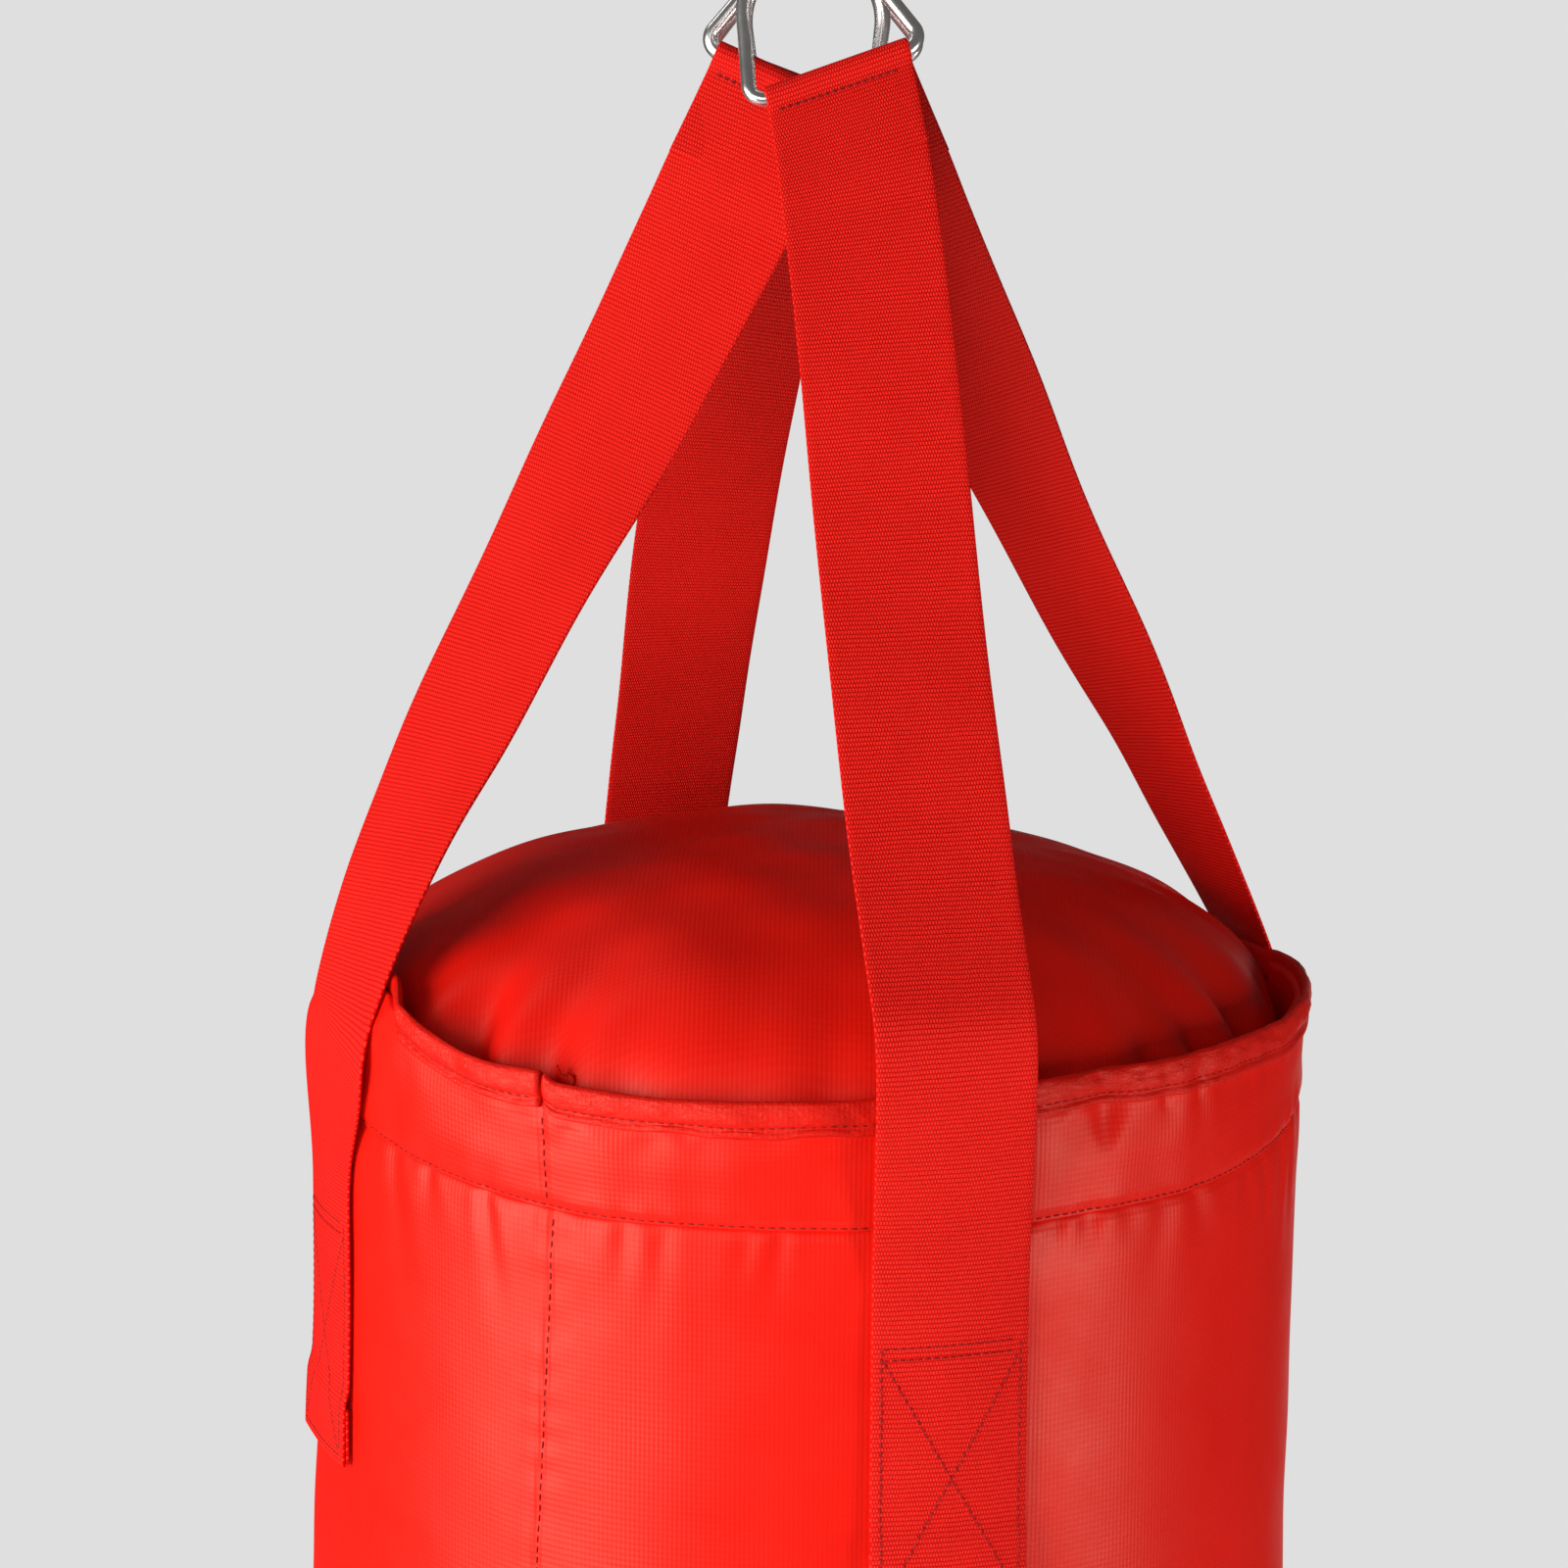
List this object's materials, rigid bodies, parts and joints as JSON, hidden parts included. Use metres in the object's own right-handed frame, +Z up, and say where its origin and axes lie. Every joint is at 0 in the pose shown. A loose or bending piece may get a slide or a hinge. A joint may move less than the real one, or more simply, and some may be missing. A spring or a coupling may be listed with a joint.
{
  "type": "hanging heavy bag",
  "caption": "Round stuffed heavy bag in coated cloth, hung on webbing straps whose D-rings gather on a snap hook under a swivel eye.",
  "frame": {"origin": "centre of the swivel's upper bore, from which the bag hangs", "axes": "+Z up, the bag hanging along -Z; -Y is the front, the strap with the seam of the cover on its left; the upper bore runs along Y"},
  "size_m": [0.3451, 0.3492, 1.4098],
  "materials": {
    "swivel_steel": "satin",
    "hook_steel": "polished",
    "ring_steel": "polished",
    "webbing": "ribbed weave",
    "thread": "matt",
    "cover": "satin coated cloth",
    "binding": "satin coated cloth, creased",
    "foam": "matt",
    "textile": "matt"
  },
  "bodies": {
    "swivel_top": {"swivel_eye": "swivel_steel"},
    "swivel_lower": {"swivel_link": "swivel_steel", "swivel_washer": "swivel_steel", "swivel_nut": "swivel_steel"},
    "snap_hook": {"hook_body": "hook_steel", "gate_rivet": "hook_steel"},
    "gate": {"hook_gate": "hook_steel"},
    "bag": {"strap_front": "webbing", "strap_left": "webbing", "strap_back": "webbing", "strap_right": "webbing", "strap_stitching": "thread", "rim_binding": "binding", "collar": "cover", "seam_stitching": "thread", "dome_lid": "cover", "shell": "cover", "lining": "foam", "filling": "textile", "base_panel": "cover", "base_binding": "binding"},
    "ring_front": {"ring_front": "ring_steel"},
    "ring_left": {"ring_left": "ring_steel"},
    "ring_back": {"ring_back": "ring_steel"},
    "ring_right": {"ring_right": "ring_steel"}
  },
  "joints": [
    {"name": "swivel_spin", "type": "hinge", "parent": "swivel_top", "child": "swivel_lower", "pos_m": [0, 0, 0], "axis": [0, 0, 1], "continuous": true},
    {"name": "hook_swing", "type": "hinge", "parent": "swivel_lower", "child": "snap_hook", "pos_m": [0, 0, -0.0755], "axis": [1, 0, 0], "range_deg": [-35, 35]},
    {"name": "gate_open", "type": "hinge", "parent": "snap_hook", "child": "gate", "pos_m": [0, -0.029, -0.1372], "axis": [-1, 0, 0], "range_deg": [0, 25], "stiffness_Nm_per_rad": 0.05, "springref_deg": -20.05},
    {"name": "bag_swing", "type": "hinge", "parent": "snap_hook", "child": "bag", "pos_m": [0, 0, -0.1522], "axis": [0, 1, 0], "range_deg": [-35, 35]},
    {"name": "ring_rock_front", "type": "hinge", "parent": "bag", "child": "ring_front", "pos_m": [0.00824, -0.02694, -0.18639], "axis": [0.9336, 0.1226, 0.3368], "range_deg": [-1.2, 1.2]},
    {"name": "ring_rock_left", "type": "hinge", "parent": "bag", "child": "ring_left", "pos_m": [-0.00936, -0.0083, -0.18837], "axis": [0.9135, -0.0425, -0.4045], "range_deg": [-1.2, 1.2]},
    {"name": "ring_rock_back", "type": "hinge", "parent": "bag", "child": "ring_back", "pos_m": [-0.00824, 0.02694, -0.18639], "axis": [0.9336, 0.1226, -0.3368], "range_deg": [-1.2, 1.2]},
    {"name": "ring_rock_right", "type": "hinge", "parent": "bag", "child": "ring_right", "pos_m": [0.00936, 0.0083, -0.18837], "axis": [0.9135, -0.0425, 0.4045], "range_deg": [-1.2, 1.2]}
  ]
}
